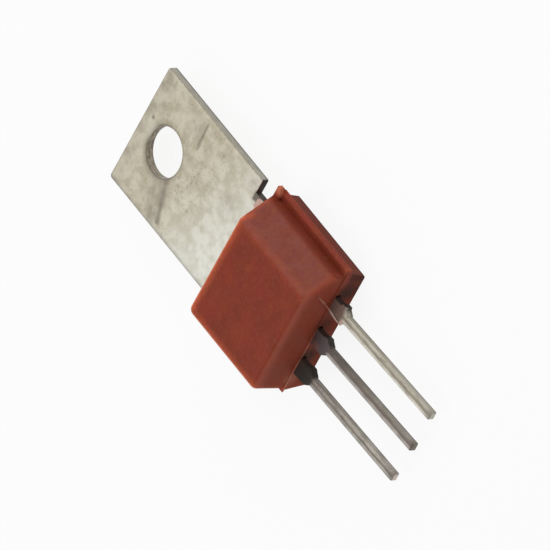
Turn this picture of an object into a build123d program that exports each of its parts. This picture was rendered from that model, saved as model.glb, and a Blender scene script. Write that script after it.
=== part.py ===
"""Triac in a tab-mounted moulded package, lying on the back of its body.

+X runs across the leads, +Y towards the tab, +Z up through the front of the body.
The origin is the middle of the flat back face, on the centre line of the leads.
All sizes are in millimetres.
"""

from build123d import *
import math
import os

# Stamped strip: the tab, the header and all three leads come from one sheet
strip_thickness = 0.52
lead_pitch = 2.54

# Tab
tab_width = 9.14
tab_length = 11.17
tab_corner_radius = 0.22
tab_edge_radius = 0.07
shoulder_corner_radius = 0.12
neck_width = 7.06
neck_length = 1.67
hole_diameter = 3.35
hole_to_tab_end = 3.04

# Header, the part of the same stamping that carries the chip inside the moulding
header_length = 5.0
header_corner_radius = 0.25
lock_hole_diameter = 1.0
lock_hole_from_edge = 0.95
lock_hole_depth_in = 0.95

# Leads outside the moulding
lead_width = 0.63
lead_length = 10.88
lead_edge_radius = 0.13
lead_tip_chamfer = 0.09
left_lead_lean = 1.9
centre_lead_lean = 2.9
right_lead_lean = 3.2
centre_lead_offset = -0.05
stub_width = 1.14
stub_length = 1.25
stub_taper_length = 0.35
cut_tie_width = 0.08
gate_tie_width = 0.16
cut_tie_length = 0.45
cut_tie_radius = 0.1

# Leads inside the moulding
inner_lead_width = 0.9
flag_inner_gap = 0.5
flag_length = 1.25
header_to_flag_gap = 0.4

# Moulded body, in two halves that meet at the front of the strip
body_width = 9.74
body_length = 8.0
body_offset = 0.135
back_depth = 1.25
front_depth = 2.52
back_left_draft = 0.4
back_right_draft = 0.26
front_draft = 0.05
end_draft = 0.04
long_bevel = 1.695
groove_depth = 0.185
front_corner_radius = 0.5
front_edge_radius = 0.4
back_corner_radius = 0.14
back_edge_radius = 0.1

# Seam: a thick rib along the bevelled side, fine flash across the ends, and the ear
rib_depth = 0.28
rib_thickness = 0.6
rib_edge_radius = 0.1
rib_above_strip = 0.18
flash_depth = 0.08
flash_thickness = 0.1
ear_depth = 0.64
ear_above_rib = 0.28
ear_crest_thickness = 0.27
ear_thickness = 1.03
ear_length = 0.55
ear_edge_radius = 0.11

# Pockets that the mould leaves beside the leads, on their bevelled side
pocket_width = 0.15
pocket_depth = 0.35

# Chip, clips and solder
chip_side = 2.8
chip_thickness = 0.25
chip_from_header_edge = 0.6
solder_thickness = 0.05
clip_thickness = 0.2
clip_arch = 0.28
clip_foot_length = 0.85
clip_foot_inset = 0.2
main_clip_pad_width = 1.45
main_clip_pad_length = 1.2
main_clip_band_width = 0.95
gate_clip_pad_width = 0.6
gate_clip_pad_length = 0.6
gate_clip_band_width = 0.45
pad_inset = 0.25

# Heights and places worked out from the sizes above
strip_bottom = back_depth
strip_top = strip_bottom + strip_thickness
body_top = strip_top + front_depth
body_end = body_length / 2
exit_y = -body_end
left_wall = body_offset - body_width / 2
right_wall = body_offset + body_width / 2
front_wall = right_wall - groove_depth
rib_top = strip_top + rib_above_strip
rib_bottom = rib_top - rib_thickness
ear_top = rib_top + ear_above_rib
bevel_foot = body_top - long_bevel
neck_top = body_end + neck_length
tab_end = neck_top + tab_length
hole_y = tab_end - hole_to_tab_end
header_edge = body_end - header_length
flag_top = header_edge - header_to_flag_gap
flag_bottom = flag_top - flag_length
flag_inner = inner_lead_width / 2 + flag_inner_gap
flag_outer = neck_width / 2
chip_y = header_edge + chip_from_header_edge + chip_side / 2
chip_bottom = strip_top + solder_thickness
chip_top = chip_bottom + chip_thickness
clip_on_chip = chip_top + solder_thickness
clip_on_flag = strip_top + solder_thickness


def plate(outline, bottom, thickness):
    """A flat piece: an XY outline given thickness upwards."""
    return extrude(Plane.XY.offset(bottom) * outline, thickness)


def strip_piece(outline):
    """A piece stamped from the strip."""
    return plate(outline, strip_bottom, strip_thickness)


def block(low, high):
    """A box between two opposite corners."""
    size = [b - a for a, b in zip(low, high)]
    middle = [(a + b) / 2 for a, b in zip(low, high)]
    return Pos(*middle) * Box(*size)


def rectangle(left, right, bottom, top):
    """A flat rectangle between two X and two Y values."""
    return Pos((left + right) / 2, (bottom + top) / 2) * Rectangle(right - left, top - bottom)


def section_face(points):
    """A closed outline of (X, Z) points, standing at the tab end of the body."""
    return Plane.XZ.offset(-body_end) * make_face(Polyline(*points, close=True))


def lead_side_view(lean):
    """A lead seen from the side: level as far as the moulding's end, then leaning down."""
    drop = lead_length * math.tan(math.radians(lean))
    tip_y = exit_y - lead_length
    lower = [(flag_bottom, strip_bottom), (exit_y, strip_bottom), (tip_y, strip_bottom - drop)]
    upper = [(y, z + strip_thickness) for y, z in reversed(lower)]
    return Plane.YZ.offset(-lead_pitch) * make_face(Polyline(*lower, *upper, close=True))


def lead_under(outline, lean):
    """The part of a leaning lead that lies under an XY outline."""
    return extrude(lead_side_view(lean), 2 * lead_pitch) & plate(outline, -body_top, 2 * body_top)


def outer_lead(lean, tie_width):
    """One lead from its shank in the moulding to its tip, centred on X = 0."""
    stub_end = exit_y - stub_length
    taper_end = stub_end - stub_taper_length
    tip_y = exit_y - lead_length
    half_stub = stub_width / 2
    half_lead = lead_width / 2
    stub_side = [(half_stub, flag_bottom), (half_stub, stub_end), (half_lead, taper_end)]
    outline = stub_side + [(-x, y) for x, y in reversed(stub_side)]
    stub = lead_under(make_face(Polyline(*outline, close=True)), lean)
    wire = lead_under(rectangle(-half_lead, half_lead, tip_y, taper_end), lean)
    wire = fillet(wire.edges().filter_by(lambda edge: edge.length > lead_length / 2), lead_edge_radius)
    wire = chamfer(wire.faces().sort_by(Axis.Y)[0].edges(), lead_tip_chamfer)
    tie = RectangleRounded(stub_width / 2 + tie_width, cut_tie_length, cut_tie_radius)
    tie_place = Pos((stub_width / 2 + tie_width) / 2, stub_end + cut_tie_length / 2)
    return stub + wire + lead_under(tie_place * tie, lean)


def tab_and_header():
    """Tab, neck, header and centre lead: one stamping."""
    blade = rectangle(-tab_width / 2, tab_width / 2, neck_top, tab_end)
    blade = fillet(blade.vertices().group_by(Axis.Y)[-1], tab_corner_radius)
    blade = fillet(blade.vertices().group_by(Axis.Y)[0], shoulder_corner_radius)
    outline = blade + rectangle(-neck_width / 2, neck_width / 2, header_edge, neck_top)
    outline -= Pos(0, hole_y) * Circle(hole_diameter / 2)
    lock_x = neck_width / 2 - lock_hole_from_edge
    lock_y = body_end - lock_hole_depth_in
    for side in (-1, 1):
        outline -= Pos(side * lock_x, lock_y) * Circle(lock_hole_diameter / 2)
    tab = strip_piece(outline)
    tab = fillet(tab.faces().sort_by(Axis.Z)[-1].outer_wire().edges(), tab_edge_radius)
    tongue = rectangle(
        -inner_lead_width / 2, inner_lead_width / 2, flag_bottom, header_edge + header_corner_radius
    )
    centre_lead = Pos(centre_lead_offset, 0, 0) * outer_lead(centre_lead_lean, cut_tie_width)
    return tab + strip_piece(tongue) + centre_lead


def side_lead(side, lean, tie_width):
    """A lead with the flag that its clip is soldered to, on the left (-1) or right (1)."""
    low, high = sorted((side * flag_inner, side * flag_outer))
    flag = strip_piece(rectangle(low, high, flag_bottom, flag_top))
    return flag + Pos(side * lead_pitch, 0, 0) * outer_lead(lean, tie_width)


def chip():
    """The silicon chip."""
    low = (-chip_side / 2, chip_y - chip_side / 2, chip_bottom)
    high = (chip_side / 2, chip_y + chip_side / 2, chip_top)
    return block(low, high)


def chip_solder():
    """The solder layer between the chip and the header."""
    low = (-chip_side / 2, chip_y - chip_side / 2, strip_top)
    high = (chip_side / 2, chip_y + chip_side / 2, chip_bottom)
    return block(low, high)


def clip_places(side):
    """Pad and foot of a clip as (left, right, bottom, top), and its band's width."""
    if side < 0:
        pad_left = -chip_side / 2 + pad_inset
        pad_top = chip_y + chip_side / 2 - pad_inset
        pad = (pad_left, pad_left + main_clip_pad_width, pad_top - main_clip_pad_length, pad_top)
        band_width = main_clip_band_width
    else:
        pad_right = chip_side / 2 - pad_inset
        pad_bottom = chip_y - chip_side / 2 + pad_inset
        pad_top = pad_bottom + gate_clip_pad_length
        pad = (pad_right - gate_clip_pad_width, pad_right, pad_bottom, pad_top)
        band_width = gate_clip_band_width
    foot_x = side * (flag_inner + clip_foot_inset + band_width / 2)
    foot_top = flag_top - clip_foot_inset
    foot = (foot_x - band_width / 2, foot_x + band_width / 2, foot_top - clip_foot_length, foot_top)
    return pad, foot


def clip(side):
    """A formed copper clip, soldered from the chip to the flag of its lead."""
    pad, foot = clip_places(side)
    pad_left, pad_right, pad_bottom, pad_top = pad
    foot_left, foot_right, foot_bottom, foot_top = foot
    band = foot_right - foot_left
    lift = clip_on_chip + clip_arch
    lower = [
        (foot_bottom, clip_on_flag),
        (foot_top, clip_on_flag),
        (header_edge, lift),
        (chip_y - chip_side / 2 + pad_inset / 2, lift),
        (pad_bottom + pad_inset, clip_on_chip),
        (pad_top, clip_on_chip),
    ]
    upper = [(y, z + clip_thickness) for y, z in reversed(lower)]
    side_view = Plane.YZ.offset(-neck_width / 2) * make_face(Polyline(*lower, *upper, close=True))
    formed = extrude(side_view, neck_width)
    inner = pad_right if side < 0 else pad_left
    outer = pad_left if side < 0 else pad_right
    outline = [
        (outer, pad_top),
        (inner, pad_top),
        (inner, pad_bottom),
        (outer - side * band, pad_bottom),
        (foot_right if side < 0 else foot_left, foot_top),
        (foot_right if side < 0 else foot_left, foot_bottom),
        (foot_left if side < 0 else foot_right, foot_bottom),
        (foot_left if side < 0 else foot_right, foot_top),
        (outer, pad_bottom),
    ]
    plan = plate(make_face(Polyline(*outline, close=True)), strip_top, body_top - strip_top)
    return formed & plan


def clip_solder(side, where):
    """The solder under a clip's pad on the chip, or under its foot on the flag."""
    pad, foot = clip_places(side)
    if where == "chip":
        left, right, bottom, top = pad
        return block((left, bottom + pad_inset, chip_top), (right, top, clip_on_chip))
    left, right, bottom, top = foot
    return block((left, bottom, strip_top), (right, top, clip_on_flag))


def mould_half(cross_section, side_outline):
    """Half of the moulding before its edges are rounded: its section cut by its side view."""
    side_view = Plane.YZ.offset(-body_width) * make_face(Polyline(*side_outline, close=True))
    return extrude(section_face(cross_section), body_length) & extrude(side_view, 2 * body_width)


def upright_edges(half, right=body_width):
    """The standing corner edges of a half, as far right as a given X."""
    return half.edges().filter_by(
        lambda edge: abs(edge.tangent_at(0.5).Z) > 0.9
        and abs(edge.center().Y) > body_end - end_draft - flash_depth
        and edge.center().X < right
    )


def front_half():
    """The half over the chip, with the long bevel, rounded at all its front edges."""
    cross_section = [
        (left_wall, strip_top),
        (front_wall, strip_top),
        (front_wall, bevel_foot),
        (front_wall - long_bevel, body_top),
        (left_wall + front_draft, body_top),
    ]
    side_outline = [
        (-body_end, strip_top),
        (body_end, strip_top),
        (body_end - end_draft, body_top),
        (-body_end + end_draft, body_top),
    ]
    form = mould_half(cross_section, side_outline)
    form = fillet(upright_edges(form, right=0), front_corner_radius)
    front_edges = form.edges().filter_by(lambda edge: edge.center().Z > bevel_foot + front_edge_radius)
    front_edges = front_edges.filter_by(lambda edge: abs(edge.tangent_at(0.5).Z) < 0.9)
    return fillet(front_edges, front_edge_radius)


def back_half():
    """The half behind the strip, which narrows to the flat back."""
    cross_section = [
        (left_wall + back_left_draft, 0),
        (right_wall - back_right_draft, 0),
        (right_wall, strip_top),
        (left_wall, strip_top),
    ]
    side_outline = [(-body_end, 0), (body_end - end_draft, 0), (body_end, strip_top), (-body_end, strip_top)]
    form = mould_half(cross_section, side_outline)
    form = fillet(upright_edges(form), back_corner_radius)
    return fillet(form.faces().sort_by(Axis.Z)[0].outer_wire().edges(), back_edge_radius)


def seam():
    """The rib along the bevelled side, and the fine flash across both ends."""
    low = (right_wall - rib_depth, -body_end, rib_bottom)
    high = (right_wall + rib_depth, body_end, rib_top)
    rib = block(low, high)
    rib = fillet(rib.faces().sort_by(Axis.X)[-1].edges(), rib_edge_radius)
    flash_low = (left_wall, -body_end - flash_depth, strip_top - flash_thickness / 2)
    flash_high = (right_wall, body_end + flash_depth, strip_top + flash_thickness / 2)
    return rib + block(flash_low, flash_high)


def bevel_ear():
    """The small ear that stands on the rib at the tab end."""
    foot = right_wall - rib_depth
    crest = right_wall + ear_depth
    crest_bottom = ear_top - ear_crest_thickness
    ear_bottom = ear_top - ear_thickness
    end_outline = [
        (foot, ear_bottom),
        (right_wall, ear_bottom),
        (crest, crest_bottom),
        (crest, ear_top),
        (foot, ear_top),
    ]
    plan_outline = [
        (foot, body_end),
        (crest, body_end),
        (crest, body_end - ear_length / 2),
        (right_wall, body_end - ear_length),
        (foot, body_end - ear_length),
    ]
    plan = plate(make_face(Polyline(*plan_outline, close=True)), 0, body_top)
    ear = extrude(section_face(end_outline), ear_length) & plan
    crest_edges = ear.faces().sort_by(Axis.X)[-1].edges()
    return fillet(crest_edges, ear_edge_radius)


def lead_pockets():
    """The shallow pockets in the lead end, one beside each lead."""
    pockets = []
    for lead_x in (-lead_pitch, centre_lead_offset, lead_pitch):
        low = (lead_x + stub_width / 2, exit_y - flash_depth, strip_bottom)
        high = (lead_x + stub_width / 2 + pocket_width, exit_y + pocket_depth, strip_top)
        pockets.append(block(low, high))
    return pockets


inside = {
    "heat_tab": tab_and_header(),
    "main_terminal_lead": side_lead(-1, left_lead_lean, cut_tie_width),
    "gate_lead": side_lead(1, right_lead_lean, gate_tie_width),
    "silicon_chip": chip(),
    "chip_solder": chip_solder(),
    "main_terminal_clip": clip(-1),
    "gate_clip": clip(1),
    "main_clip_chip_solder": clip_solder(-1, "chip"),
    "main_clip_lead_solder": clip_solder(-1, "flag"),
    "gate_clip_chip_solder": clip_solder(1, "chip"),
    "gate_clip_lead_solder": clip_solder(1, "flag"),
}
body = front_half() + back_half() + seam() + bevel_ear()
for piece in [*inside.values(), *lead_pockets()]:
    body -= piece
pieces = {"moulded_body": body, **inside}

os.makedirs("parts", exist_ok=True)
for name, piece in pieces.items():
    export_step(piece, f"parts/{name}.step")
    print(name, round(piece.volume, 4), piece.bounding_box())
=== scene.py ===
"""The finish of a tab-mounted triac, laid on its back on a white table."""

import math

import bmesh
import bpy
from mathutils import Matrix, Vector


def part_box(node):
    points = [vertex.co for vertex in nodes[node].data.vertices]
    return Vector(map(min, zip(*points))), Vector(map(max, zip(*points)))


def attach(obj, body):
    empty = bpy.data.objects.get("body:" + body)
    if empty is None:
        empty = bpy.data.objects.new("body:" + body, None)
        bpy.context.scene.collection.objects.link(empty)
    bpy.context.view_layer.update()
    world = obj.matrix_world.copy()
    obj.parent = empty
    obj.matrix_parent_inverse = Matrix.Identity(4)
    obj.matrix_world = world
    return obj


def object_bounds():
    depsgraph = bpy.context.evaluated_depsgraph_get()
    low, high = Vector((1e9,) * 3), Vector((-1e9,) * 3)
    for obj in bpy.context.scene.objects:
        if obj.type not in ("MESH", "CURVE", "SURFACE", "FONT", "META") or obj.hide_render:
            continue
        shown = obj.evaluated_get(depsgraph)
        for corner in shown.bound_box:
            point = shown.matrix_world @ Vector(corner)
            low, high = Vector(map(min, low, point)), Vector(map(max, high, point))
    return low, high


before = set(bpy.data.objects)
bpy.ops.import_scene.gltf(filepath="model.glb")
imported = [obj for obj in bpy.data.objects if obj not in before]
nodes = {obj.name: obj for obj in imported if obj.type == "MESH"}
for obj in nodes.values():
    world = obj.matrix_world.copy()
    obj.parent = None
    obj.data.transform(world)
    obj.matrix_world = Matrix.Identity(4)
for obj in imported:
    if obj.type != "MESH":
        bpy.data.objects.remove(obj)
cad_low, cad_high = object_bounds()
mm = 0.001

# Camera
# A long lens looks down on the part from its bevelled side and its leads. It is rolled a
# quarter turn, so that the leads run down to the right.
view_azimuth = math.radians(42.4)
view_elevation = math.radians(42.63)
view_roll = math.radians(-92.6)
lens_length = 1500.0
sensor_width = 36.0
frame_width = 34.81 * mm
aim = Vector((0.529, 1.180, 1.640)) * mm

scene = bpy.context.scene
toward_camera = Vector(
    (
        math.sin(view_azimuth) * math.cos(view_elevation),
        -math.cos(view_azimuth) * math.cos(view_elevation),
        math.sin(view_elevation),
    )
)
camera_distance = frame_width * lens_length / sensor_width
camera_data = bpy.data.cameras.new("camera")
camera_data.lens = lens_length
camera_data.sensor_width = sensor_width
camera_data.clip_start = camera_distance / 100
camera_data.clip_end = camera_distance * 10
camera = bpy.data.objects.new("camera", camera_data)
level = toward_camera.to_track_quat("Z", "Y").to_matrix().to_4x4()
place = Matrix.Translation(aim + toward_camera * camera_distance)
camera.matrix_world = place @ level @ Matrix.Rotation(view_roll, 4, "Z")
scene.collection.objects.link(camera)
scene.camera = camera

# Light
# A large soft lamp over the tab end lights the front, another one the bevelled side, and an
# even pale room fills the rest.
scene.view_settings.view_transform = "Standard"
plain_white = (1.0, 1.0, 1.0, 1.0)
room_strength = 0.52
lamp_distance = 160 * mm
lamp_side = 200 * mm
lamps = {
    "lamp_tab_end": ((-0.62, 0.28, 0.73), 0.105),
    "lamp_bevel_side": ((0.85, 0.27, 0.45), 0.135),
}

for name, (direction, watts) in lamps.items():
    towards = Vector(direction).normalized()
    lamp_data = bpy.data.lights.new(name, "AREA")
    lamp_data.shape = "SQUARE"
    lamp_data.size = lamp_side
    lamp_data.energy = watts
    lamp = bpy.data.objects.new(name, lamp_data)
    lamp.location = (cad_low + cad_high) / 2 + towards * lamp_distance
    lamp.rotation_mode = "QUATERNION"
    lamp.rotation_quaternion = towards.to_track_quat("Z", "Y")
    scene.collection.objects.link(lamp)


def feed(tree, node, **inputs):
    """Sets or links a shader node's sockets, which are given by name or by _number."""
    for key, value in inputs.items():
        numbered = key.startswith("_")
        socket = node.inputs[int(key[1:]) if numbered else key.replace("_", " ")]
        if isinstance(value, bpy.types.Node):
            value = value.outputs[0]
        if isinstance(value, bpy.types.NodeSocket):
            tree.links.new(value, socket)
        else:
            socket.default_value = value


def add(tree, kind, settings=None, **inputs):
    """A new shader node with its settings and its sockets' values."""
    made = tree.nodes.new(kind)
    for key, value in (settings or {}).items():
        setattr(made, key, value)
    feed(tree, made, **inputs)
    return made


room = bpy.data.worlds.new("room")
room.use_nodes = True
tree = room.node_tree
tree.nodes.clear()
even = add(tree, "ShaderNodeBackground", Color=plain_white, Strength=room_strength)
add(tree, "ShaderNodeOutputWorld", Surface=even)
scene.world = room

# Table
# A plain white sheet, level with the flat back that the part lies on. It looks white and
# keeps a faint shadow.
table_reach = 0.6
shadow_share = 0.12
paper_white = (0.9, 0.9, 0.9, 1.0)

table_mesh = bpy.data.meshes.new("table")
table = bpy.data.objects.new("table", table_mesh)
scene.collection.objects.link(table)
sheet = bmesh.new()
bmesh.ops.create_grid(sheet, x_segments=1, y_segments=1, size=table_reach)
bmesh.ops.translate(sheet, verts=sheet.verts, vec=(0, 0, cad_low.z))
sheet.to_mesh(table_mesh)
sheet.free()


def maths(tree, operation, *values):
    """One step of arithmetic."""
    sockets = {f"_{i}": value for i, value in enumerate(values)}
    return add(tree, "ShaderNodeMath", {"operation": operation}, **sockets).outputs[0]


white = bpy.data.materials.new("white_sheet")
white.use_nodes = True
tree = white.node_tree
tree.nodes.clear()
ray = add(tree, "ShaderNodeLightPath").outputs
mirrored = maths(tree, "MAXIMUM", ray["Is Glossy Ray"], ray["Is Transmission Ray"])
looked_at = maths(tree, "MAXIMUM", ray["Is Camera Ray"], mirrored)
paper = add(tree, "ShaderNodeBsdfDiffuse", Color=paper_white)
glow = add(tree, "ShaderNodeEmission", Color=plain_white, Strength=1.0)
faint = add(tree, "ShaderNodeMixShader", _0=shadow_share, _1=glow, _2=paper)
shown = add(tree, "ShaderNodeMixShader", _0=looked_at, _1=paper, _2=faint)
add(tree, "ShaderNodeOutputMaterial", Surface=shown)
table_mesh.materials.append(white)

# Moulded body
# One block of brown-red compound, pressed round the strip in a two-part mould. Its skin is
# satin, and its front edges get a painted orange highlight.
body_end = 4.0 * mm
body_top = cad_high.z
left_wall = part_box("moulded_body")[0].x
right_wall = 5.005 * mm
front_wall = 4.82 * mm
long_bevel = 1.695 * mm
bevel_foot = body_top - long_bevel
bevel_cosine = 0.7071
strip_top = 1.77 * mm


def srgb(red, green, blue):
    """A colour given as 0 to 255 display values, as the linear colour that a node takes."""
    values = [v / 255 for v in (red, green, blue)]
    return (*[v / 12.92 if v <= 0.04045 else ((v + 0.055) / 1.055) ** 2.4 for v in values], 1.0)


def times(tree, first, *others):
    """The product of two or more values."""
    for other in others:
        first = maths(tree, "MULTIPLY", first, other)
    return first


def ramp(tree, value, low, high, out_low=0.0, out_high=1.0):
    """A value spread smoothly from low..high to out_low..out_high."""
    ends = {"_1": low, "_2": high, "_3": out_low, "_4": out_high}
    smooth = {"interpolation_type": "SMOOTHSTEP"}
    return add(tree, "ShaderNodeMapRange", smooth, Value=value, **ends).outputs["Result"]


def fade(tree, value, near, far, gain=1.0):
    """The gain where a value is under near, dying away to 0 where it is over far."""
    return ramp(tree, value, near, far, gain, 0.0)


def blend(tree, share, first, second):
    """Two colours mixed by a share."""
    made = add(tree, "ShaderNodeMix", {"data_type": "RGBA"}, _0=share, _6=first, _7=second)
    return made.outputs[2]


def noise(tree, vector, size, detail=3.0):
    """A cloud pattern with features of about that size, around 0.5."""
    inputs = {"Vector": vector, "Scale": 1 / size, "Detail": detail, "Roughness": 0.55}
    return add(tree, "ShaderNodeTexNoise", **inputs).outputs["Fac"]


def effect(name, inputs, outputs):
    """An empty group of shader nodes, with its input sockets and its output node."""
    group = bpy.data.node_groups.new(name, "ShaderNodeTree")
    for side, sockets in (("INPUT", inputs), ("OUTPUT", outputs)):
        for label, kind in sockets.items():
            group.interface.new_socket(name=label, in_out=side, socket_type=f"NodeSocket{kind}")
    return group, group.nodes.new("NodeGroupInput").outputs, group.nodes.new("NodeGroupOutput")


def place_effect(tree, group, **inputs):
    """A group placed in a material or another group, by its sockets' names."""
    return add(tree, "ShaderNodeGroup", {"node_tree": group}, **inputs).outputs


def finish(name, **fixed):
    """A material with one Principled shader, and its tree, shader and Object coordinates."""
    material = bpy.data.materials.new(name)
    material.use_nodes = True
    tree = material.node_tree
    tree.nodes.clear()
    shader = add(tree, "ShaderNodeBsdfPrincipled", **fixed)
    add(tree, "ShaderNodeOutputMaterial", Surface=shader)
    where = add(tree, "ShaderNodeTexCoord").outputs["Object"]
    return material, tree, shader, where


def roughen(tree, shader, height, strength, depth):
    """Feeds a shader's Normal with a bump."""
    bump = add(tree, "ShaderNodeBump", Strength=strength, Distance=depth, Height=height)
    feed(tree, shader, Normal=bump)


def split(tree, vector):
    """The X, Y and Z of a vector."""
    return add(tree, "ShaderNodeSeparateXYZ", Vector=vector).outputs


def vectors(tree, operation, first, second):
    """One step of vector arithmetic."""
    return add(tree, "ShaderNodeVectorMath", {"operation": operation}, _0=first, _1=second).outputs


def spot(tree, where, centre, near, far):
    """A soft round mask: 1 within near of a place, 0 beyond far."""
    return fade(tree, vectors(tree, "DISTANCE", where, centre)["Value"], near, far)


def dress(name, material):
    """Gives a CAD node its material."""
    mesh = nodes[name].data
    mesh.materials.clear()
    mesh.materials.append(material)


# Two scales of mottling, used on the moulding, the tin and the chip.
mottle, given, out = effect(
    "mottle",
    {"Vector": "Vector", "Cloud Size": "Float", "Grain Size": "Float"},
    {"Cloud": "Float", "Grain": "Float"},
)
for label, detail in (("Cloud", 4.0), ("Grain", 2.0)):
    scale = maths(mottle, "DIVIDE", 1.0, given[label + " Size"])
    pattern = add(mottle, "ShaderNodeTexNoise", Vector=given["Vector"], Scale=scale, Detail=detail)
    feed(mottle, out, **{label: pattern})

# The compound's colours: the plain skin, its mottling and stains, painted highlights and sheen,
# painted shade, and the pale flash.
plain_skin, cloudy_skin = srgb(125, 50, 30), srgb(138, 57, 36)
red_tint, pale_grain = srgb(134, 48, 42), srgb(150, 76, 50)
bevel_sheen, plum_stain, ochre_stain = srgb(134, 75, 64), srgb(126, 58, 60), srgb(140, 80, 50)
orange_highlight, rim_highlight = srgb(208, 98, 63), srgb(224, 146, 118)
foot_shade, back_wall_shade, bottom_edge_shade = srgb(84, 32, 20), srgb(82, 40, 30), srgb(52, 34, 30)
ear_highlight, pale_flash = srgb(216, 126, 98), srgb(198, 132, 108)
lead_end_highlight, lit_patch_pink = srgb(168, 94, 76), srgb(186, 120, 98)
far_shade, lead_shade_brown = srgb(62, 32, 27), srgb(54, 34, 26)

moulding, tree, shader, where = finish("moulding_satin", Specular_IOR_Level=0.1)
x, y, z = split(tree, where)
skin = place_effect(tree, mottle, Vector=where, Cloud_Size=1.5 * mm, Grain_Size=0.22 * mm)
tint = noise(tree, where, 0.8 * mm, detail=2.0)
colour = blend(tree, ramp(tree, skin["Cloud"], 0.36, 0.64), plain_skin, cloudy_skin)
colour = blend(tree, ramp(tree, tint, 0.42, 0.68, 0.0, 0.55), colour, red_tint)
colour = blend(tree, ramp(tree, skin["Grain"], 0.4, 0.8, 0.0, 0.3), colour, pale_grain)

# Distances inwards from the planes of the front half's faces.
bevel_offset = (front_wall + bevel_foot) * bevel_cosine
gaps = {
    "front": maths(tree, "SUBTRACT", body_top, z),
    "left": maths(tree, "SUBTRACT", x, left_wall),
    "tab": maths(tree, "SUBTRACT", body_end, y),
    "leads": maths(tree, "ADD", y, body_end),
    "bevel": maths(tree, "MULTIPLY_ADD", maths(tree, "ADD", x, z), -bevel_cosine, bevel_offset),
}

# The bevel has a painted pinkish sheen, and plum and ochre stains show through the whole skin.
over_foot = ramp(tree, z, bevel_foot - 0.05 * mm, bevel_foot + 0.3 * mm)
on_bevel = times(tree, fade(tree, gaps["bevel"], 0.03 * mm, 0.14 * mm), over_foot)
painted_sheen = times(tree, on_bevel, ramp(tree, tint, 0.3, 0.7, 0.55, 0.95))
colour = blend(tree, painted_sheen, colour, bevel_sheen)
stain_share = maths(tree, "MULTIPLY_ADD", on_bevel, 0.35, 0.3)
plum = ramp(tree, noise(tree, where, 0.24 * mm), 0.5, 0.72)
ochre = ramp(tree, noise(tree, where, 0.33 * mm), 0.52, 0.72)
colour = blend(tree, times(tree, plum, stain_share), colour, plum_stain)
colour = blend(tree, times(tree, ochre, stain_share), colour, ochre_stain)

# Painted highlights along the edges, in a lit orange: the two faces that meet at each edge, how
# far the highlight reaches in millimetres, and its strength.
edges = (
    ("front", "tab", 0.95, 1.0),
    ("front", "left", 0.85, 0.72),
    ("left", "tab", 0.6, 0.6),
    ("front", "bevel", 0.42, 0.16),
    ("bevel", "tab", 0.7, 0.45),
    ("bevel", "leads", 0.7, 0.2),
    ("left", "leads", 0.6, 0.3),
)
ragged = ramp(tree, noise(tree, where, 0.45 * mm), 0.3, 0.7, 0.6, 1.15)
edge_highlight = 0.0
for first, second, reach, gain in edges:
    gap = maths(tree, "MAXIMUM", gaps[first], gaps[second])
    lit = times(tree, fade(tree, gap, 0.05 * mm, reach * mm, gain), ragged)
    edge_highlight = maths(tree, "MAXIMUM", lit, edge_highlight)
colour = blend(tree, edge_highlight, colour, orange_highlight)
# A painted highlight: a pale peach line along the front face's edges by the tab end and by the
# left wall.
highlit_rim = maths(tree, "MAXIMUM", gaps["front"], maths(tree, "MINIMUM", gaps["tab"], gaps["left"]))
colour = blend(tree, fade(tree, highlit_rim, 0.12 * mm, 0.38 * mm, gain=0.85), colour, rim_highlight)
# A painted highlight: the lead end is paler, most of all near its front edge.
on_lead_end = fade(tree, gaps["leads"], 0.1 * mm, 0.3 * mm)
end_highlight_share = ramp(tree, gaps["front"], 0.1 * mm, 0.85 * mm, 0.62, 0.22)
colour = blend(tree, times(tree, on_lead_end, end_highlight_share), colour, lead_end_highlight)

# Painted shade darkens the wall under the bevel, the back half and its bottom edge by the table,
# and a painted highlight makes the ear on the rib paler.
beside_wall = ramp(tree, x, front_wall - 0.25 * mm, front_wall - 0.02 * mm)
over_rib = ramp(tree, z, 1.93 * mm, 1.98 * mm)
under_foot = times(tree, beside_wall, over_rib, maths(tree, "SUBTRACT", 1.0, over_foot))
colour = blend(tree, times(tree, under_foot, 0.45), colour, foot_shade)
on_right = ramp(tree, x, 4.3 * mm, 4.6 * mm)
back_half = times(tree, fade(tree, z, 1.2 * mm, 1.4 * mm), on_right)
colour = blend(tree, times(tree, back_half, 0.6), colour, back_wall_shade)
bottom_shade_line = times(tree, fade(tree, z, 0.02 * mm, 0.3 * mm, gain=0.6), on_right)
colour = blend(tree, bottom_shade_line, colour, bottom_edge_shade)
past_wall = ramp(tree, x, right_wall - 0.1 * mm, right_wall + 0.4 * mm)
by_tab = ramp(tree, y, 3.3 * mm, 3.5 * mm)
lit_ear = times(tree, past_wall, ramp(tree, z, 1.9 * mm, 2.05 * mm), by_tab)
colour = blend(tree, times(tree, lit_ear, 0.62), colour, ear_highlight)

# The flash at the parting line shows pale beside the left and centre leads.
off_parting = maths(tree, "ABSOLUTE", maths(tree, "SUBTRACT", z, strip_top))
past_end = ramp(tree, maths(tree, "ABSOLUTE", y), body_end + 0.01 * mm, body_end + 0.05 * mm)
flash = times(tree, fade(tree, off_parting, 0.05 * mm, 0.1 * mm), past_end)
leftward = fade(tree, x, -2.2 * mm, 1.2 * mm, gain=0.62)
colour = blend(tree, times(tree, flash, leftward), colour, pale_flash)

# On the lead end, a painted pool of light beside the left lead, and painted shade in the far
# low corner.
lead_face = fade(tree, y, -body_end + 0.05 * mm, -body_end + 0.4 * mm)
lit_patch_place = (-3.7 * mm, -body_end, 1.6 * mm)
lit_patch = times(tree, spot(tree, where, lit_patch_place, 0.15 * mm, 0.75 * mm), 0.45)
colour = blend(tree, times(tree, lit_patch, lead_face), colour, lit_patch_pink)
to_corner = ramp(tree, x, 2.6 * mm, 3.5 * mm, 0.0, 0.6)
far_corner = times(tree, to_corner, fade(tree, z, 1.1 * mm, 1.5 * mm), lead_face)
colour = blend(tree, far_corner, colour, far_shade)
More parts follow.
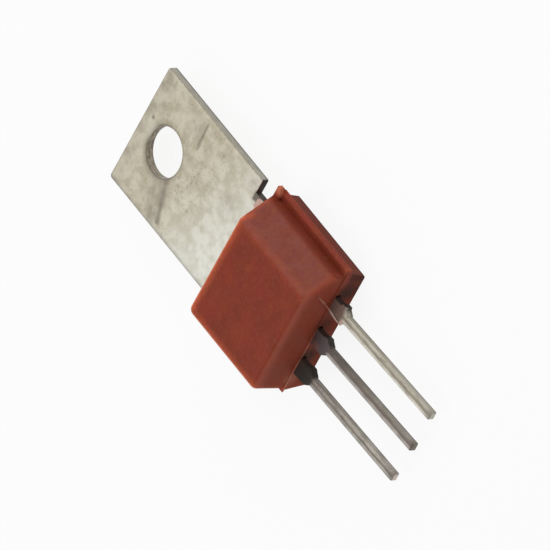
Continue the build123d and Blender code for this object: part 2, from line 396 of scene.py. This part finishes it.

# Painted shade darkens the lead end round each lead, most behind the strip: X and Z of each
# patch, its reach in millimetres and its strength.
lead_shade_places = (
    ((-1.72, 1.2), 0.95, 0.85),
    ((0.8, 1.35), 1.15, 0.72),
    ((3.35, 1.05), 1.2, 0.8),
    ((2.9, 1.4), 0.9, 0.6),
)
lead_shade = 0.0
for (px, pz), reach, strength in lead_shade_places:
    centre = (px * mm, -body_end, pz * mm)
    patch = times(tree, spot(tree, where, centre, 0.2 * mm, reach * mm), strength)
    lead_shade = maths(tree, "MAXIMUM", patch, lead_shade)
uneven = ramp(tree, noise(tree, where, 0.4 * mm), 0.3, 0.7, 0.75, 1.1)
behind = ramp(tree, z, strip_top - 0.05 * mm, strip_top + 0.45 * mm, 1.0, 0.4)
colour = blend(tree, times(tree, lead_shade, uneven, lead_face, behind), colour, lead_shade_brown)
feed(tree, shader, Base_Color=colour, Roughness=ramp(tree, skin["Cloud"], 0.3, 0.7, 0.52, 0.64))
pimples = maths(tree, "MULTIPLY_ADD", skin["Grain"], 0.35, skin["Cloud"])
roughen(tree, shader, pimples, strength=0.3, depth=0.03 * mm)
dress("moulded_body", moulding)

# Heat tab
# The blade, neck, header and centre lead are one stamping of copper strip, tinned before it
# is cut. The tin is stained and pitted, and the cut sides show dark.
strip_thickness = 0.52 * mm
strip_back = strip_top - strip_thickness
tab_end = cad_high.y
hole_place = (0.0, 13.8 * mm, strip_top)
hole_radius = 1.675 * mm
half_tab = 4.57 * mm
shoulder = 5.67 * mm
dip_line = -5.35 * mm

# Tin: soft clouds of stain over a clean colour, with small dark pits.
tin_skin, given, out = effect(
    "tin_skin",
    {
        "Vector": "Vector",
        "Clean": "Color",
        "Stained": "Color",
        "Pitted": "Color",
        "Cloud Size": "Float",
        "Grain Size": "Float",
        "Pit Share": "Float",
    },
    {"Color": "Color", "Roughness": "Float", "Height": "Float"},
)
sizes = {"Cloud_Size": given["Cloud Size"], "Grain_Size": given["Grain Size"]}
clouds = place_effect(tin_skin, mottle, Vector=given["Vector"], **sizes)
cloudiness = ramp(tin_skin, clouds["Cloud"], 0.38, 0.64)
shade = blend(tin_skin, cloudiness, given["Clean"], given["Stained"])
pits = times(tin_skin, ramp(tin_skin, clouds["Grain"], 0.56, 0.72), given["Pit Share"])
feed(
    tin_skin,
    out,
    Color=blend(tin_skin, pits, shade, given["Pitted"]),
    Roughness=ramp(tin_skin, clouds["Cloud"], 0.3, 0.7, 0.42, 0.58),
    Height=maths(tin_skin, "MULTIPLY_ADD", clouds["Grain"], -0.6, clouds["Cloud"]),
)

# Cut sides: 1 on the sheared faces of the strip, 0 on its flat front and back.
cut_side, given, out = effect("cut_side", {"Normal": "Vector"}, {"Side": "Float"})
flatness = maths(cut_side, "ABSOLUTE", split(cut_side, given["Normal"])[2])
feed(cut_side, out, Side=fade(cut_side, flatness, 0.35, 0.8))

# Lead finish: bright solder below the dip line, and the strip's own tin, tarnished, above it.
# The front has a painted highlight along its left edge, and painted shade in a shallow groove
# down its middle. The sides have painted shade along their back edge. Lean is the slope at which
# the lead runs to its tip.
lead_skin, given, out = effect(
    "lead_skin",
    {
        "Vector": "Vector",
        "Normal": "Vector",
        "Middle": "Float",
        "Left": "Color",
        "Groove": "Color",
        "Right": "Color",
        "Right at Tip": "Color",
        "Side": "Color",
        "Side at Tip": "Color",
        "End": "Color",
        "Tarnished": "Color",
        "Dip Line": "Float",
        "Lean": "Float",
    },
    {"Color": "Color", "Roughness": "Float", "Height": "Float"},
)
# Painted shade for the sides' back edge and for the stubs' sides, and a dark brown for the front
# next to the body.
back_edge_shade, stub_side_shade, front_by_body = srgb(62, 56, 50), srgb(46, 36, 30), srgb(84, 62, 56)
vector = given["Vector"]
along = split(lead_skin, vector)
drawn_out = vectors(lead_skin, "MULTIPLY", vector, (1.0, 0.3, 1.0))["Vector"]
clouds = place_effect(
    lead_skin, mottle, Vector=drawn_out, Cloud_Size=0.3 * mm, Grain_Size=0.08 * mm
)
wave = noise(lead_skin, vector, 0.5 * mm)
to_tip = fade(lead_skin, along[1], -12.0 * mm, -7.0 * mm)

# The front, from its right part to the painted highlight on its left edge, with the painted
# shade of the groove between them.
across = maths(lead_skin, "SUBTRACT", along[0], given["Middle"])
slow_wave = noise(lead_skin, vector, 0.9 * mm, detail=2.0)
wander = maths(lead_skin, "MULTIPLY_ADD", slow_wave, 0.12 * mm, -0.02 * mm)
from_groove = maths(lead_skin, "SUBTRACT", across, wander)
shade = blend(lead_skin, to_tip, given["Right"], given["Right at Tip"])
left_highlight = fade(lead_skin, from_groove, -0.26 * mm, -0.04 * mm)
shade = blend(lead_skin, left_highlight, shade, given["Left"])
off_groove = maths(lead_skin, "ABSOLUTE", from_groove)
groove = fade(lead_skin, off_groove, 0.03 * mm, 0.15 * mm, gain=0.8)
shade = blend(lead_skin, groove, shade, given["Groove"])

# The sheared sides, with painted shade at their back edge.
side = place_effect(lead_skin, cut_side, Normal=given["Normal"])["Side"]
flank = blend(lead_skin, to_tip, given["Side"], given["Side at Tip"])
drop = times(lead_skin, maths(lead_skin, "ADD", along[1], body_end), given["Lean"])
over_back = maths(lead_skin, "SUBTRACT", along[2], strip_back)
from_back = maths(lead_skin, "SUBTRACT", over_back, drop)
shaded_back_edge = fade(lead_skin, from_back, 0.08 * mm, 0.26 * mm, gain=0.6)
flank = blend(lead_skin, shaded_back_edge, flank, back_edge_shade)
shade = blend(lead_skin, side, shade, flank)

# Stains and pits all over, a singed band near the tip, and the cut end.
stains = times(lead_skin, ramp(lead_skin, clouds["Cloud"], 0.45, 0.68), 0.4)
shade = blend(lead_skin, stains, shade, given["Groove"])
pits = times(lead_skin, ramp(lead_skin, clouds["Grain"], 0.56, 0.72), 0.25)
shade = blend(lead_skin, pits, shade, given["Tarnished"])
waved = maths(lead_skin, "MULTIPLY_ADD", wave, 1.0 * mm, along[1])
singed = fade(lead_skin, waved, -14.5 * mm, -13.6 * mm, gain=0.7)
shade = blend(lead_skin, singed, shade, given["Groove"])
end_face = fade(lead_skin, split(lead_skin, given["Normal"])[1], -0.9, -0.6)
at_tip = fade(lead_skin, along[1], -14.6 * mm, -14.5 * mm)
shade = blend(lead_skin, times(lead_skin, end_face, at_tip), shade, given["End"])

# Above the dip line, the strip's own tin, tarnished, with painted shade on its sheared sides and
# a darker front next to the body.
line = maths(lead_skin, "MULTIPLY_ADD", wave, 0.5 * mm, given["Dip Line"])
past_line = maths(lead_skin, "SUBTRACT", along[1], line)
above = ramp(lead_skin, past_line, -0.5 * mm, -0.05 * mm)
tarnish_and_shade = blend(lead_skin, side, given["Tarnished"], stub_side_shade)
by_body = ramp(lead_skin, along[1], -5.0 * mm, -4.05 * mm, 0.0, 0.65)
by_body = times(lead_skin, by_body, ramp(lead_skin, wave, 0.3, 0.7, 0.6, 1.1))
tarnish_and_shade = blend(lead_skin, by_body, tarnish_and_shade, front_by_body)
rough = ramp(lead_skin, clouds["Cloud"], 0.3, 0.7, 0.42, 0.58)
relief = maths(lead_skin, "MULTIPLY_ADD", clouds["Grain"], -0.6, clouds["Cloud"])
feed(
    lead_skin,
    out,
    Color=blend(lead_skin, above, shade, tarnish_and_shade),
    Roughness=maths(lead_skin, "MULTIPLY_ADD", above, 0.15, rough),
    Height=maths(lead_skin, "SUBTRACT", relief, groove),
)


def on_front(x, y):
    """A place on the front of the strip, from its X and Y in millimetres."""
    return Vector((x * mm, y * mm, strip_top))


# The tab's colours: its tin in painted light and shade, the marks on it with the painted shade
# beside the crease, its edges, its cut sides and the shoulders with their painted highlight.
lit_tin, shaded_tin, tab_end_shade_grey = srgb(220, 220, 210), srgb(196, 189, 169), srgb(158, 150, 138)
lit_stain, shaded_stain, pit_brown = srgb(212, 211, 197), srgb(185, 177, 154), srgb(138, 128, 110)
halo_brown, lip_brown, speck_brown = srgb(118, 108, 92), srgb(104, 98, 86), srgb(122, 112, 94)
crease_shade_grey, stain_and_shade_grey, dot_brown = srgb(104, 96, 86), srgb(142, 133, 120), srgb(92, 84, 74)
rubbed_tin, line_tin = srgb(206, 200, 184), srgb(214, 208, 190)
left_grey, rim_grey = srgb(150, 147, 138), srgb(132, 124, 110)
cut_dark, cut_pale, cut_back = srgb(152, 147, 134), srgb(166, 162, 148), srgb(92, 88, 80)
bore_dark, bore_pale = srgb(118, 106, 90), srgb(168, 158, 140)
neck_black, shoulder_highlight = srgb(60, 46, 42), srgb(206, 188, 174)
corner_brown, resin_red = srgb(84, 74, 64), srgb(134, 92, 82)

# The tin is painted lighter near the body and shaded towards the far corner and the tab's end;
# it is stained all over, and pitted more towards the far corner.
tab_tin, tree, shader, where = finish("tab_tin", Metallic=0.55)
facing = add(tree, "ShaderNodeTexCoord").outputs["Normal"]
x, y, z = split(tree, where)
broad_wave = noise(tree, where, 2.0 * mm, detail=2.0)
wander = maths(tree, "MULTIPLY_ADD", broad_wave, 1.6 * mm, -0.8 * mm)
diagonal = maths(tree, "ADD", maths(tree, "MULTIPLY_ADD", x, 0.45, y), wander)
shade_share = ramp(tree, diagonal, 4.6 * mm, 12.0 * mm)
tin = place_effect(
    tree,
    tin_skin,
    Vector=where,
    Clean=blend(tree, shade_share, lit_tin, shaded_tin),
    Stained=blend(tree, shade_share, lit_stain, shaded_stain),
    Pitted=pit_brown,
    Cloud_Size=0.75 * mm,
    Grain_Size=0.2 * mm,
    Pit_Share=ramp(tree, diagonal, 7.0 * mm, 11.0 * mm, 0.12, 0.42),
)
dim_share = ramp(tree, tin["Height"], 0.1, 0.35, 0.2, 0.6)
tab_end_shade = times(tree, ramp(tree, y, 14.6 * mm, 17.0 * mm), dim_share)
colour = blend(tree, tab_end_shade, tin["Color"], tab_end_shade_grey)

# A brown halo round the hole, strongest on the left, and a dark dust of specks beside it.
from_hole = vectors(tree, "DISTANCE", where, hole_place)["Value"]
leftness = ramp(tree, maths(tree, "SUBTRACT", y, x), 11.6 * mm, 15.6 * mm, 0.35, 1.0)
halo = fade(tree, from_hole, hole_radius, hole_radius + 0.6 * mm, gain=0.65)
colour = blend(tree, times(tree, halo, leftness), colour, halo_brown)
lip = fade(tree, from_hole, hole_radius + 0.08 * mm, hole_radius + 0.2 * mm, gain=0.75)
colour = blend(tree, times(tree, lip, leftness), colour, lip_brown)
specks = ramp(tree, noise(tree, where, 0.24 * mm), 0.5, 0.7)
dusty = spot(tree, where, on_front(0.2, 11.3), 0.8 * mm, 2.8 * mm)
colour = blend(tree, times(tree, specks, dusty, 0.35), colour, speck_brown)


def scratch(start, end, reach, gain):
    """A mask along a line on the tab's front, given in millimetres, fading over its reach."""
    start, end = on_front(*start), on_front(*end)
    along = (end - start).normalized()
    across = Vector((-along.y, along.x, 0))
    half = (end - start).length / 2
    offset = vectors(tree, "SUBTRACT", where, (start + end) / 2)["Vector"]
    lengthwise = vectors(tree, "DOT_PRODUCT", offset, along)["Value"]
    sidewise = vectors(tree, "DOT_PRODUCT", offset, across)["Value"]
    inside = fade(tree, maths(tree, "ABSOLUTE", lengthwise), half * 0.7, half, gain)
    near = fade(tree, maths(tree, "ABSOLUTE", sidewise), 0.02 * mm, reach * mm)
    return times(tree, inside, near)


# A crease across the tab below the hole, where it was once bent and flattened, pressed in by
# the bump and painted with the shade that falls in it: the two ends of each stretch, its reach
# and its strength.
creases = (
    ((2.1, 11.66), (4.25, 11.76), 0.17, 0.5),
    ((2.0, 11.58), (3.1, 11.72), 0.2, 0.4),
    ((-4.2, 11.5), (-2.5, 12.12), 0.34, 0.62),
    ((-3.0, 11.98), (-1.0, 12.68), 0.42, 0.5),
)
dent_and_shade = 0.0
for start, end, reach, gain in creases:
    dent_and_shade = maths(tree, "MAXIMUM", scratch(start, end, reach, gain), dent_and_shade)
colour = blend(tree, dent_and_shade, colour, crease_shade_grey)

# Broad grey patches, the first two painted shade beside the crease and the rest stains, a rubbed
# pale patch past the hole, and a few dark dots.
stain_and_shade_places = (
    ((-2.5, 12.75), 1.7, 0.75),
    ((-3.9, 12.2), 1.1, 0.6),
    ((3.1, 12.2), 1.0, 0.3),
    ((1.1, 7.4), 1.2, 0.32),
    ((3.9, 6.3), 0.9, 0.45),
)
blotches = ramp(tree, noise(tree, where, 0.5 * mm), 0.3, 0.7, 0.4, 1.0)
for place, reach, gain in stain_and_shade_places:
    grey_patch = spot(tree, where, on_front(*place), 0.2 * mm, reach * mm)
    colour = blend(tree, times(tree, grey_patch, blotches, gain), colour, stain_and_shade_grey)
rubbed = times(tree, spot(tree, where, on_front(0.4, 15.95), 0.3 * mm, 1.2 * mm), 0.55)
colour = blend(tree, rubbed, colour, rubbed_tin)
dots = (((1.05, 16.0), 0.13, 0.6), ((3.4, 9.4), 0.1, 0.3), ((-1.6, 9.9), 0.1, 0.35))
for place, radius, gain in dots:
    dot = spot(tree, where, on_front(*place), radius * 0.5 * mm, radius * 1.6 * mm)
    colour = blend(tree, times(tree, dot, gain), colour, dot_brown)

# The front's edges: a pale line inside the right one, a grey left one, and a bitten rim.
off_side = maths(tree, "SUBTRACT", half_tab, maths(tree, "ABSOLUTE", x))
off_edge = maths(tree, "MINIMUM", off_side, maths(tree, "SUBTRACT", tab_end, y))
pale_line = fade(tree, off_edge, 0.1 * mm, 0.34 * mm, gain=0.3)
pale_line = times(tree, pale_line, ramp(tree, x, 3.0 * mm, 4.0 * mm))
colour = blend(tree, pale_line, colour, line_tin)
off_left = maths(tree, "ADD", half_tab, x)
left_line = fade(tree, off_left, 0.04 * mm, 0.4 * mm, gain=0.55)
colour = blend(tree, left_line, colour, left_grey)
bite = maths(tree, "MULTIPLY_ADD", noise(tree, where, 0.35 * mm), -0.2 * mm, off_edge)
colour = blend(tree, fade(tree, bite, -0.08 * mm, 0.02 * mm, gain=0.7), colour, rim_grey)

# The cut sides are streaked olive grey, darker at the back, brown in the hole, and nearly
# black at the shoulders and the neck.
side = place_effect(tree, cut_side, Normal=facing)["Side"]
drawn = vectors(tree, "MULTIPLY", where, (1.0, 0.4, 1.5))["Vector"]
streaks = ramp(tree, noise(tree, drawn, 0.35 * mm), 0.35, 0.65)
side_colour = blend(tree, streaks, cut_dark, cut_pale)
at_back = fade(tree, z, 1.28 * mm, 1.42 * mm, gain=0.85)
side_colour = blend(tree, at_back, side_colour, cut_back)
in_hole = fade(tree, from_hole, hole_radius - 0.05 * mm, hole_radius + 0.25 * mm)
side_colour = blend(tree, in_hole, side_colour, blend(tree, streaks, bore_dark, bore_pale))
low_side = fade(tree, y, shoulder + 0.02 * mm, shoulder + 0.12 * mm)
side_colour = blend(tree, low_side, side_colour, neck_black)
colour = blend(tree, side, colour, side_colour)

# The right shoulder: a painted pink highlight along its edge, and a darker patch in its corner.
past_shoulder = maths(tree, "SUBTRACT", y, shoulder)
lit_shoulder_edge = fade(tree, past_shoulder, 0.06 * mm, 0.22 * mm, gain=0.5)
lit_shoulder_edge = times(tree, lit_shoulder_edge, ramp(tree, x, 3.3 * mm, 3.6 * mm))
lit_shoulder_edge = times(tree, lit_shoulder_edge, maths(tree, "SUBTRACT", 1.0, side))
colour = blend(tree, lit_shoulder_edge, colour, shoulder_highlight)
corner = maths(
    tree,
    "MAXIMUM",
    scratch((3.75, 5.62), (2.95, 5.6), reach=0.26, gain=1.0),
    spot(tree, where, on_front(3.42, 5.4), 0.26 * mm, 0.5 * mm),
)
colour = blend(tree, times(tree, corner, 0.85), colour, corner_brown)

# The centre lead grows out of the header, and has the leads' finish.
centre_finish = {
    "Middle": 0.0,
    "Left": srgb(180, 173, 167),
    "Groove": srgb(102, 92, 84),
    "Right": srgb(112, 102, 93),
    "Right at Tip": srgb(148, 138, 127),
    "Side": srgb(106, 98, 91),
    "Side at Tip": srgb(152, 146, 136),
    "End": srgb(122, 113, 104),
    "Tarnished": srgb(96, 86, 88),
    "Dip Line": dip_line - 0.25 * mm,
    "Lean": math.tan(math.radians(2.9)),
}
centre = place_effect(tree, lead_skin, Vector=where, Normal=facing, **centre_finish)
on_lead = fade(tree, y, -3.0 * mm, -2.8 * mm)
colour = blend(tree, on_lead, colour, centre["Color"])
reddened = times(tree, spot(tree, where, on_front(-0.55, -4.5), 0.15 * mm, 0.6 * mm), 0.6)
colour = blend(tree, reddened, colour, resin_red)
feed(tree, shader, Base_Color=colour, Roughness=tin["Roughness"])
dented = maths(tree, "SUBTRACT", tin["Height"], times(tree, dent_and_shade, 1.5))
roughen(tree, shader, dented, strength=0.4, depth=0.02 * mm)
dress("heat_tab", tab_tin)

# Side leads
# The two outer leads are cut from the same strip, and dipped in solder up to the shoulder.
# The left one has tarnished, and the right one kept its shine, most of all on its cut tie.
lead_pitch = 2.54 * mm
rubbed_tie = (3.26 * mm, -5.4 * mm, 1.72 * mm)
shiny_tin = srgb(196, 192, 186)
lead_finishes = {
    "main_terminal_lead": {
        "Middle": -lead_pitch,
        "Left": srgb(164, 159, 152),
        "Groove": srgb(108, 102, 94),
        "Right": srgb(158, 149, 139),
        "Right at Tip": srgb(184, 177, 165),
        "Side": srgb(140, 133, 123),
        "Side at Tip": srgb(166, 160, 150),
        "End": srgb(206, 194, 184),
        "Tarnished": srgb(58, 54, 48),
        "Dip Line": dip_line - 0.35 * mm,
        "Lean": math.tan(math.radians(1.9)),
    },
    "gate_lead": {
        "Middle": lead_pitch,
        "Left": srgb(214, 209, 197),
        "Groove": srgb(136, 130, 115),
        "Right": srgb(198, 192, 175),
        "Right at Tip": srgb(180, 174, 158),
        "Side": srgb(154, 149, 134),
        "Side at Tip": srgb(168, 163, 150),
        "End": srgb(190, 184, 174),
        "Tarnished": srgb(130, 106, 94),
        "Dip Line": dip_line + 0.1 * mm,
        "Lean": math.tan(math.radians(3.2)),
    },
}
for name, sockets in lead_finishes.items():
    material, tree, shader, where = finish(name + "_tin", Metallic=0.55)
    facing = add(tree, "ShaderNodeTexCoord").outputs["Normal"]
    skin = place_effect(tree, lead_skin, Vector=where, Normal=facing, **sockets)
    shiny = times(tree, spot(tree, where, rubbed_tie, 0.08 * mm, 0.32 * mm), 0.7)
    colour = blend(tree, shiny, skin["Color"], shiny_tin)
    feed(tree, shader, Base_Color=colour, Roughness=skin["Roughness"])
    roughen(tree, shader, skin["Height"], strength=0.5, depth=0.02 * mm)
    dress(name, material)

# Flash on the gate lead
# Resin leaked out of the mould beside the gate lead. It left a thin ridge down the lead
# end and along the shoulder, and a bead at the shoulder's corner.
dark_resin, pale_resin, clear_resin = srgb(146, 86, 70), srgb(176, 116, 98), srgb(216, 186, 172)
resin, tree, shader, where = finish("thin_resin", Roughness=0.5, Specular_IOR_Level=0.2)
skin = place_effect(tree, mottle, Vector=where, Cloud_Size=0.3 * mm, Grain_Size=0.08 * mm)
cloudiness = ramp(tree, skin["Cloud"], 0.35, 0.65)
colour = blend(tree, cloudiness, dark_resin, pale_resin)
off_face = maths(tree, "ADD", split(tree, where)[1], body_end - 0.15 * mm)
thinness = ramp(tree, maths(tree, "ABSOLUTE", off_face), 0.15 * mm, 0.6 * mm, 0.0, 0.8)
feed(tree, shader, Base_Color=blend(tree, thinness, colour, clear_resin))


def resin_piece(name, shape):
    """A piece of leaked resin made from a filled bmesh, with its finish and its ride."""
    mesh = bpy.data.meshes.new(name)
    bmesh.ops.recalc_face_normals(shape, faces=shape.faces)
    shape.to_mesh(mesh)
    shape.free()
    mesh.materials.append(resin)
    piece = bpy.data.objects.new(name, mesh)
    scene.collection.objects.link(piece)
    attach(piece, "root")


# Each place on the ridge: X, Y, Z and its half width, in millimetres. It stands up from the
# lead end first, and from the front of the lead after the bend.
ridge_line = (
    (3.16, -3.985, 3.12, 0.02),
    (2.92, -3.985, 2.78, 0.05),
    (2.66, -3.985, 2.38, 0.085),
    (2.42, -3.99, 2.05, 0.07),
    (2.25, -4.02, 1.82, 0.045),
    (2.17, -4.3, 1.765, 0.06),
    (2.11, -4.75, 1.765, 0.05),
    (2.06, -5.2, 1.765, 0.035),
)
ridge_bend = 4
ridge_rise = 0.35
ridge_sides = 8
from_end, from_lead = Vector((0, -1, 0)), Vector((0, 0, 1))
ridge = bmesh.new()
rings = []
for step, (px, py, pz, half) in enumerate(ridge_line):
    before = Vector(ridge_line[max(step - 1, 0)][:3])
    after = Vector(ridge_line[min(step + 1, len(ridge_line) - 1)][:3])
    run = (after - before).normalized()
    rise = from_end if step < ridge_bend else from_lead
    if step == ridge_bend:
        rise = (from_end + from_lead).normalized()
    across = run.cross(rise).normalized()
    turn = Matrix((across, across.cross(run), run)).transposed().to_4x4()
    flatten = Matrix.Diagonal((half, half * ridge_rise, 1, 1))
    place = Matrix.Translation(Vector((px, py, pz)) * mm) @ turn @ flatten
    made = bmesh.ops.create_circle(ridge, segments=ridge_sides, radius=mm, matrix=place)
    rings.append([edge for edge in ridge.edges if edge.verts[0] in made["verts"]])
for first, second in zip(rings, rings[1:]):
    bmesh.ops.bridge_loops(ridge, edges=first + second)
bmesh.ops.holes_fill(ridge, edges=ridge.edges, sides=ridge_sides)
resin_piece("gate_flash_ridge", ridge)

bead_radius = 0.15 * mm
bead_stretch = (1.5, 0.85, 0.5)
bead_place = Vector((2.2, -5.4, 1.7)) * mm
bead = bmesh.new()
bmesh.ops.create_icosphere(bead, subdivisions=2, radius=bead_radius)
bmesh.ops.scale(bead, vec=bead_stretch, verts=bead.verts)
bmesh.ops.translate(bead, vec=bead_place, verts=bead.verts)
resin_piece("gate_flash_bead", bead)

# Flash at the neck
# A thin skin of the same resin crept out onto the front of the neck at its right edge.
film_outline = (
    (3.46, 5.2), (3.51, 5.0), (3.5, 4.75), (3.25, 4.75), (2.95, 4.95),
    (2.7, 5.2), (2.76, 5.34), (2.95, 5.36), (3.1, 5.27), (3.28, 5.31),
)
film_bottom = strip_top - 0.01 * mm
film_thickness = 0.035 * mm
film = bmesh.new()
floor = [film.verts.new((px * mm, py * mm, film_bottom)) for px, py in film_outline]
face = film.faces.new(floor)
grown = bmesh.ops.extrude_face_region(film, geom=[face])["geom"]
lifted = [v for v in grown if isinstance(v, bmesh.types.BMVert)]
bmesh.ops.translate(film, vec=(0, 0, film_thickness), verts=lifted)
resin_piece("neck_flash_film", film)

# Chip, clips and solder
# A grey silicon chip is soldered to the header, and two formed copper clips are soldered from
# it to the outer leads. The moulding hides them all.
dark_silicon, pale_silicon = srgb(120, 124, 132), srgb(134, 138, 146)
silicon, tree, shader, where = finish("polished_silicon", Roughness=0.18, Metallic=0.3)
skin = place_effect(tree, mottle, Vector=where, Cloud_Size=0.9 * mm, Grain_Size=0.1 * mm)
colour = blend(tree, skin["Cloud"], dark_silicon, pale_silicon)
feed(tree, shader, Base_Color=colour)
dress("silicon_chip", silicon)

clips = ("main_terminal_clip", "gate_clip")
joints = (
    "chip_solder",
    "main_clip_chip_solder",
    "main_clip_lead_solder",
    "gate_clip_chip_solder",
    "gate_clip_lead_solder",
)
inner_metals = {
    "clip_copper": (clips, srgb(206, 136, 104), srgb(182, 108, 78), srgb(120, 66, 48)),
    "dull_solder": (joints, srgb(186, 186, 182), srgb(160, 160, 156), srgb(110, 110, 108)),
}
for name, (pieces, clean, stained, pitted) in inner_metals.items():
    material, tree, shader, where = finish(name, Metallic=0.9)
    skin = place_effect(
        tree,
        tin_skin,
        Vector=where,
        Clean=clean,
        Stained=stained,
        Pitted=pitted,
        Cloud_Size=0.5 * mm,
        Grain_Size=0.08 * mm,
        Pit_Share=0.4,
    )
    feed(tree, shader, Base_Color=skin["Color"], Roughness=skin["Roughness"])
    for piece in pieces:
        dress(piece, material)
